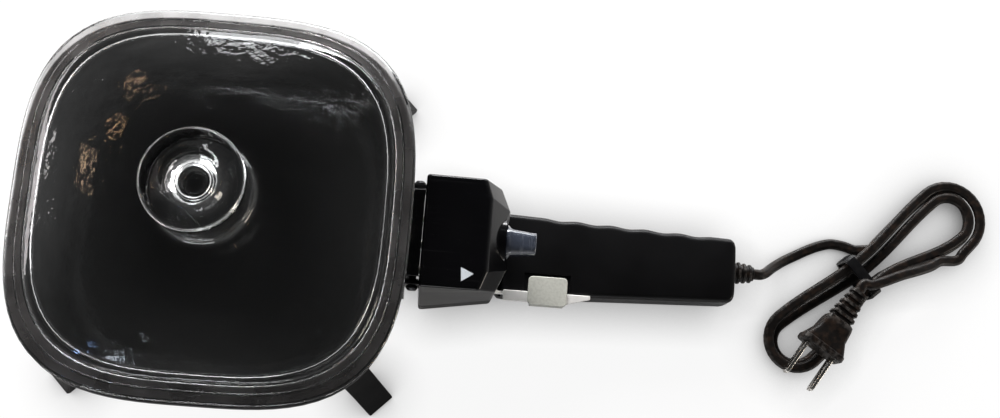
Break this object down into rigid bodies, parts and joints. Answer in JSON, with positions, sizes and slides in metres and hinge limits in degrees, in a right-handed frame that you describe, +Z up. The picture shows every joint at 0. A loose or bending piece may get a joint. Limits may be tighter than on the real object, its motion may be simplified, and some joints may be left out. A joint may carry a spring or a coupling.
{
  "type": "electric skillet",
  "caption": "small square electric skillet on corner legs, with a lift-off glass lid, a plug-in handle with a thermostat knob and a release lever, and a bundled cord",
  "frame": {"origin": "on the table, below the middle of the pan and handle taken together", "axes": "+X from the pan towards the end of the handle, +Z up"},
  "size_m": [0.4069, 0.1536, 0.117],
  "materials": {
    "coating": "black non-stick coating on cast aluminium",
    "lid_glass": "clear pressed glass",
    "black_gloss": "gloss",
    "black_satin": "satin",
    "smoke": "smoked clear plastic",
    "steel": "satin",
    "tab_steel": "satin silver grey",
    "brass": "satin",
    "ceramic": "unglazed ceramic",
    "phenolic": "moulded phenolic",
    "cord_rubber": "satin",
    "wire": "satin"
  },
  "bodies": {
    "pan": {"pan": "coating", "leg_front_right": "black_satin", "leg_front_left": "black_satin", "leg_rear_left": "black_satin", "leg_rear_right": "black_satin", "leg_screw_front_right": "steel", "leg_screw_front_left": "steel", "leg_screw_rear_left": "steel", "leg_screw_rear_right": "steel", "heating_element": "steel", "terminal_pin_left": "steel", "terminal_pin_right": "steel", "pin_insulator_left": "ceramic", "pin_insulator_right": "ceramic", "bracket_screw_left": "steel", "bracket_screw_right": "steel", "catch_stud_left": "steel", "catch_stud_right": "steel", "handle_bracket": "steel"},
    "lid": {"lid": "lid_glass"},
    "handle": {"head_cover": "black_gloss", "handle_base": "black_satin", "grip_top": "black_satin", "head_screw_left": "steel", "head_screw_right": "steel", "grip_screw_1": "steel", "grip_screw_2": "steel", "terminal_block": "phenolic", "socket_left": "brass", "socket_right": "brass", "probe_rod": "steel", "thermostat_frame": "steel", "lower_spacer": "ceramic", "bimetal_strip": "steel", "upper_spacer": "ceramic", "contact_arm": "brass", "stack_screw": "steel", "knob_bezel": "smoke", "lever_pin": "steel", "strain_relief": "cord_rubber", "cord_tail": "cord_rubber", "wire_core_left": "wire", "wire_core_right": "wire", "wire_cap_left": "wire", "wire_cap_right": "wire", "wire_lead_left": "wire", "wire_lead_right": "wire", "cord_lead": "cord_rubber", "cord_hank": "cord_rubber", "cord_tie": "black_satin", "cord_end": "cord_rubber", "plug_neck": "cord_rubber", "plug_body": "cord_rubber", "plug_blade_left": "brass", "plug_blade_right": "brass"},
    "control": {"control_shaft": "steel", "control_knob": "smoke"},
    "lever": {"lever": "steel", "lever_tab": "tab_steel"}
  },
  "joints": [
    {"name": "lid_lift", "type": "slide", "parent": "pan", "child": "lid", "axis": [0, 0, 1], "range_m": [0, 0.06]},
    {"name": "handle_release", "type": "slide", "parent": "pan", "child": "handle", "axis": [1, 0, 0], "range_m": [0, 0.045]},
    {"name": "lever_lift", "type": "hinge", "parent": "handle", "child": "lever", "pos_m": [0.03, -0.0178, 0.042], "axis": [0, -1, 0], "range_deg": [0, 30]},
    {"name": "control_knob_turn", "type": "hinge", "parent": "handle", "child": "control", "pos_m": [0.04, 0, 0.045], "axis": [1, 0, 0], "range_deg": [0, 270]}
  ]
}
